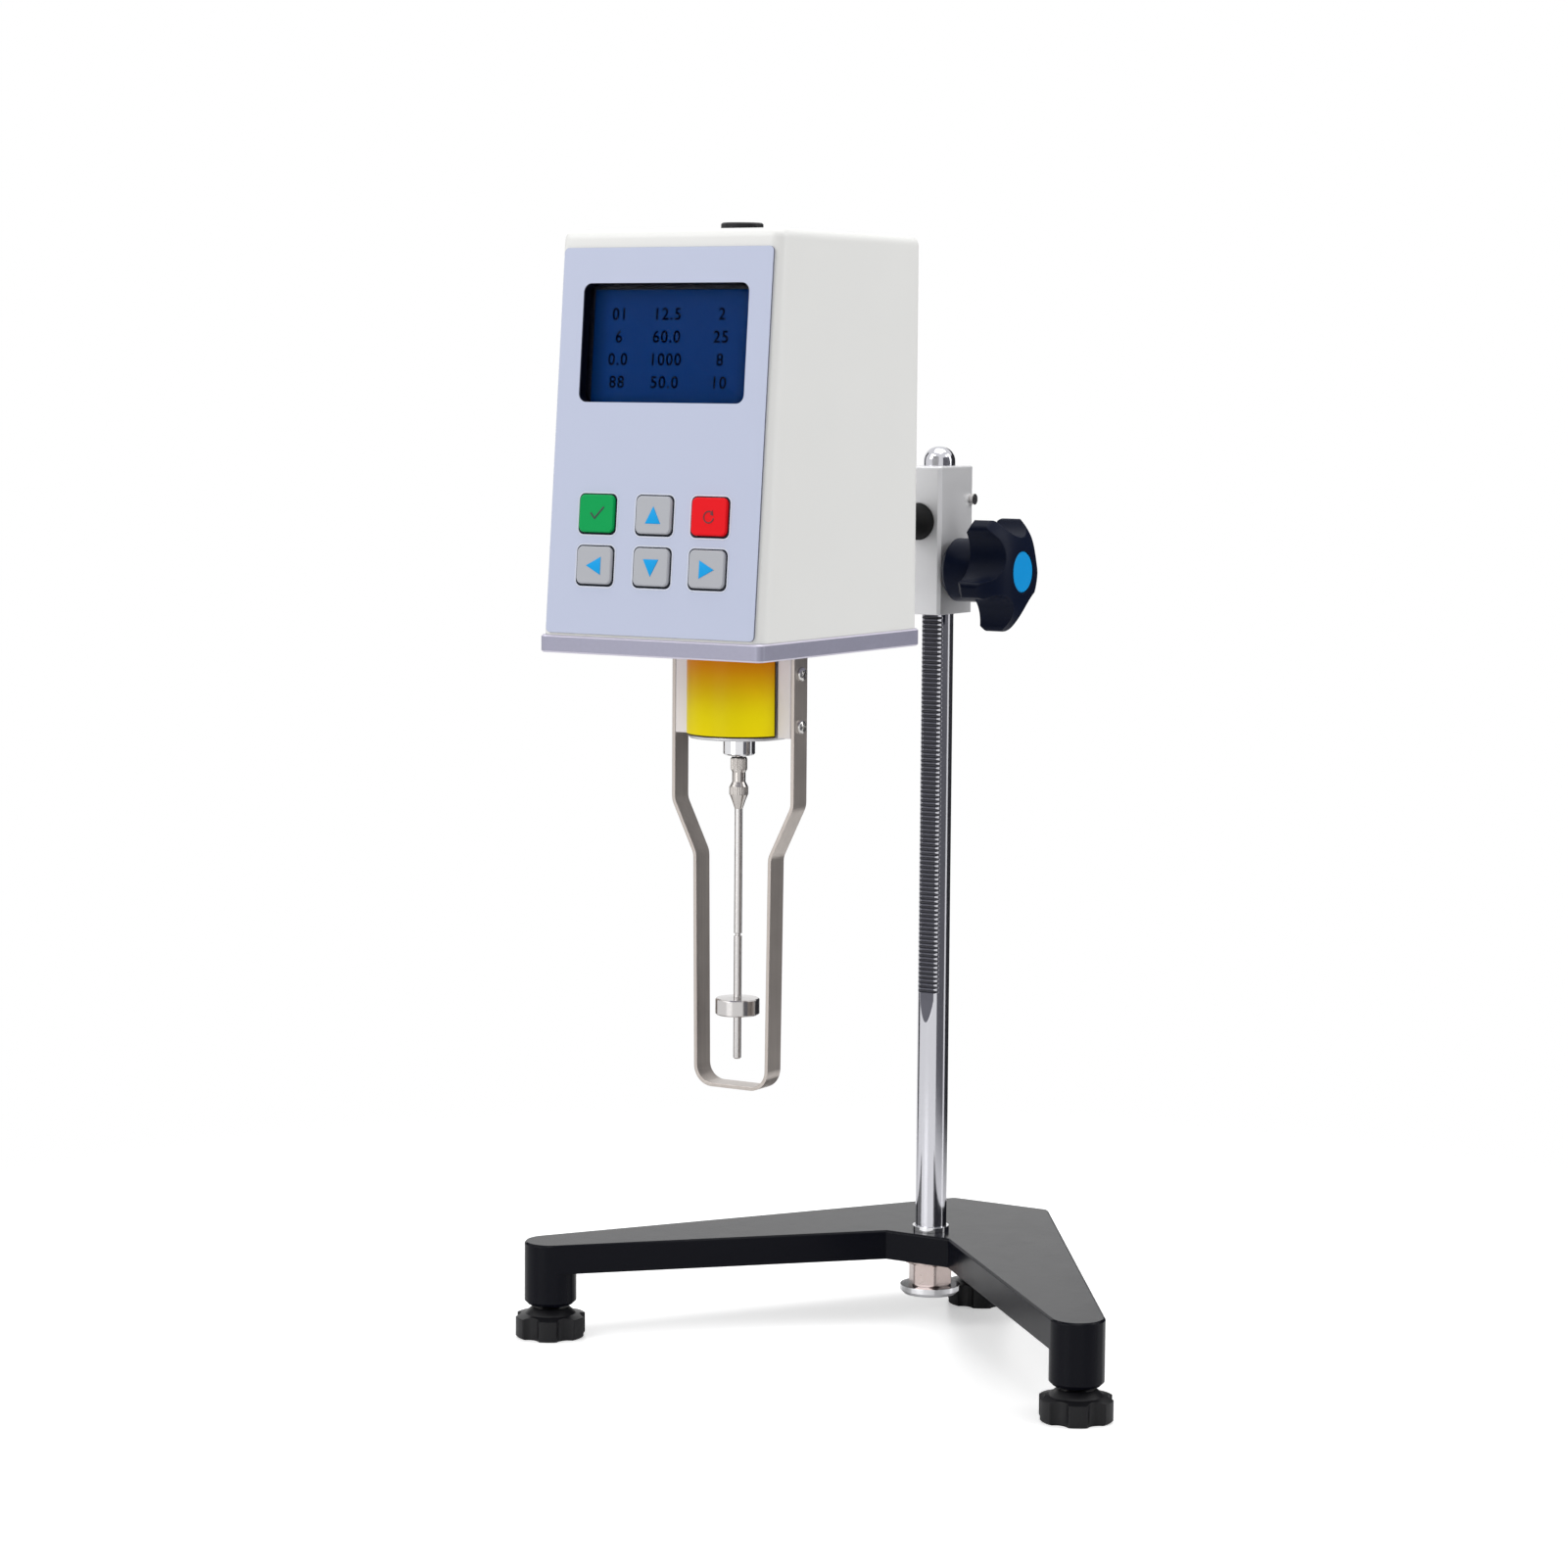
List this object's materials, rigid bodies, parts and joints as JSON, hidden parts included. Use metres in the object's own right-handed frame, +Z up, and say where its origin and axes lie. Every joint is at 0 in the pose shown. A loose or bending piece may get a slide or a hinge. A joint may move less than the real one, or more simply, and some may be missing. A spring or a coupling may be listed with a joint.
{
  "type": "rotational viscometer",
  "caption": "Bench rotational viscometer: keypad head with guarded disc spindle, raised by a rack and knob on a column over a V-shaped levelling base.",
  "frame": {"origin": "on the bench, under the middle of the instrument's width and depth", "axes": "+Z up along the column, +X to the right seen from the keypad, -Y towards the operator"},
  "size_m": [0.301, 0.3101, 0.4992],
  "materials": {
    "base_black": "gloss paint over the casting",
    "chrome_steel": "polished chrome",
    "bright_aluminium": "satin",
    "plate_grey": "satin grey enamel",
    "housing_white": "fine-grained light grey plastic",
    "panel_lilac": "satin printed panel",
    "black_plastic": "semi-gloss moulded",
    "cap_blue": "gloss",
    "band_yellow": "printed plastic band",
    "key_green": "satin",
    "key_red": "satin",
    "key_grey": "satin",
    "screen_blue": "clear glass over a blue display",
    "guard_steel": "brushed",
    "nickel": "nickel plated",
    "bronze": "sintered",
    "board_green": "coated board",
    "glass_clear": "clear, tinted liquid",
    "black_metal": "black oxide"
  },
  "bodies": {
    "stand": {"base_casting": "base_black", "column": "chrome_steel", "column_seat_ring": "black_plastic", "column_washer": "guard_steel", "column_nut": "nickel", "column_end_cap": "chrome_steel"},
    "head": {"clamp_block": "bright_aluminium", "tension_screw": "guard_steel", "shaft_bushes": "bronze", "mounting_rod": "black_metal", "flange_screws": "guard_steel", "rear_bracket": "bright_aluminium", "bottom_plate": "plate_grey", "housing_screws": "guard_steel", "housing_shell": "housing_white", "front_panel": "panel_lilac", "display_bezel": "black_plastic", "display_glass": "screen_blue", "lcd_module": "screen_blue", "keypad_board": "board_green", "key_switches": "board_green", "level_ring": "black_plastic", "level_vial": "glass_clear", "pivot_hub": "black_metal", "hub_band": "band_yellow", "hub_collar": "chrome_steel", "shaft_bearing": "bronze", "guard_bracket_left": "bright_aluminium", "guard_bracket_right": "bright_aluminium", "bracket_screws": "guard_steel", "guard_frame": "guard_steel", "motor": "bright_aluminium", "motor_deck": "bright_aluminium", "deck_pillars": "guard_steel", "optical_sensors": "black_plastic", "main_board": "board_green", "board_feet": "bright_aluminium", "transformer": "black_plastic", "power_inlet": "black_plastic", "switch_frame": "black_plastic"},
    "height_drive": {"pinion_shaft": "chrome_steel", "height_knob": "black_plastic", "knob_cap": "cap_blue"},
    "motor_drive": {"motor_shaft": "chrome_steel", "drive_disc": "bright_aluminium", "torsion_spring": "guard_steel"},
    "spindle_train": {"spindle_shaft": "chrome_steel", "sensor_disc": "bright_aluminium", "spindle_coupling": "chrome_steel", "spindle": "chrome_steel"},
    "mains_rocker": {"switch_rocker": "black_plastic"},
    "foot_left": {"foot_left": "base_black"},
    "foot_right": {"foot_right": "base_black"},
    "foot_rear": {"foot_rear": "base_black"},
    "key_confirm": {"key_confirm": "key_green"},
    "key_up": {"key_up": "key_grey"},
    "key_reset": {"key_reset": "key_red"},
    "key_left": {"key_left": "key_grey"},
    "key_down": {"key_down": "key_grey"},
    "key_right": {"key_right": "key_grey"}
  },
  "joints": [
    {"name": "head_lift", "type": "slide", "parent": "stand", "child": "head", "axis": [0, 0, 1], "range_m": [-0.13, 0.008]},
    {"name": "height_knob_turn", "type": "hinge", "parent": "head", "child": "height_drive", "pos_m": [0, 0.0765, 0.35], "axis": [1, 0, 0], "range_deg": [-118.53, 1910.86]},
    {"name": "motor_spin", "type": "hinge", "parent": "head", "child": "motor_drive", "pos_m": [0, -0.08485, 0.3304], "axis": [0, 0, 1], "continuous": true},
    {"name": "spring_twist", "type": "hinge", "parent": "motor_drive", "child": "spindle_train", "pos_m": [0, -0.08485, 0.3304], "axis": [0, 0, 1], "range_deg": [0, 85], "stiffness_Nm_per_rad": 0.0005},
    {"name": "rocker_tilt", "type": "hinge", "parent": "head", "child": "mains_rocker", "pos_m": [-0.029, -0.02825, 0.349], "axis": [1, 0, 0], "range_deg": [-24, 0]},
    {"name": "foot_left_screw", "type": "slide", "parent": "stand", "child": "foot_left", "axis": [0, 0, -1], "range_m": [-0.0014, 0.006]},
    {"name": "foot_right_screw", "type": "slide", "parent": "stand", "child": "foot_right", "axis": [0, 0, -1], "range_m": [-0.0014, 0.006]},
    {"name": "foot_rear_screw", "type": "slide", "parent": "stand", "child": "foot_rear", "axis": [0, 0, -1], "range_m": [-0.0014, 0.006]},
    {"name": "key_confirm_press", "type": "slide", "parent": "head", "child": "key_confirm", "axis": [0, 0.9962, -0.0872], "range_m": [0, 0.0006], "stiffness_N_per_m": 400},
    {"name": "key_up_press", "type": "slide", "parent": "head", "child": "key_up", "axis": [0, 0.9962, -0.0872], "range_m": [0, 0.0006], "stiffness_N_per_m": 400},
    {"name": "key_reset_press", "type": "slide", "parent": "head", "child": "key_reset", "axis": [0, 0.9962, -0.0872], "range_m": [0, 0.0006], "stiffness_N_per_m": 400},
    {"name": "key_left_press", "type": "slide", "parent": "head", "child": "key_left", "axis": [0, 0.9962, -0.0872], "range_m": [0, 0.0006], "stiffness_N_per_m": 400},
    {"name": "key_down_press", "type": "slide", "parent": "head", "child": "key_down", "axis": [0, 0.9962, -0.0872], "range_m": [0, 0.0006], "stiffness_N_per_m": 400},
    {"name": "key_right_press", "type": "slide", "parent": "head", "child": "key_right", "axis": [0, 0.9962, -0.0872], "range_m": [0, 0.0006], "stiffness_N_per_m": 400}
  ],
  "couplings": [
    {"joint": "height_knob_turn", "follows": "head_lift", "rad_per_m": -256.41}
  ]
}
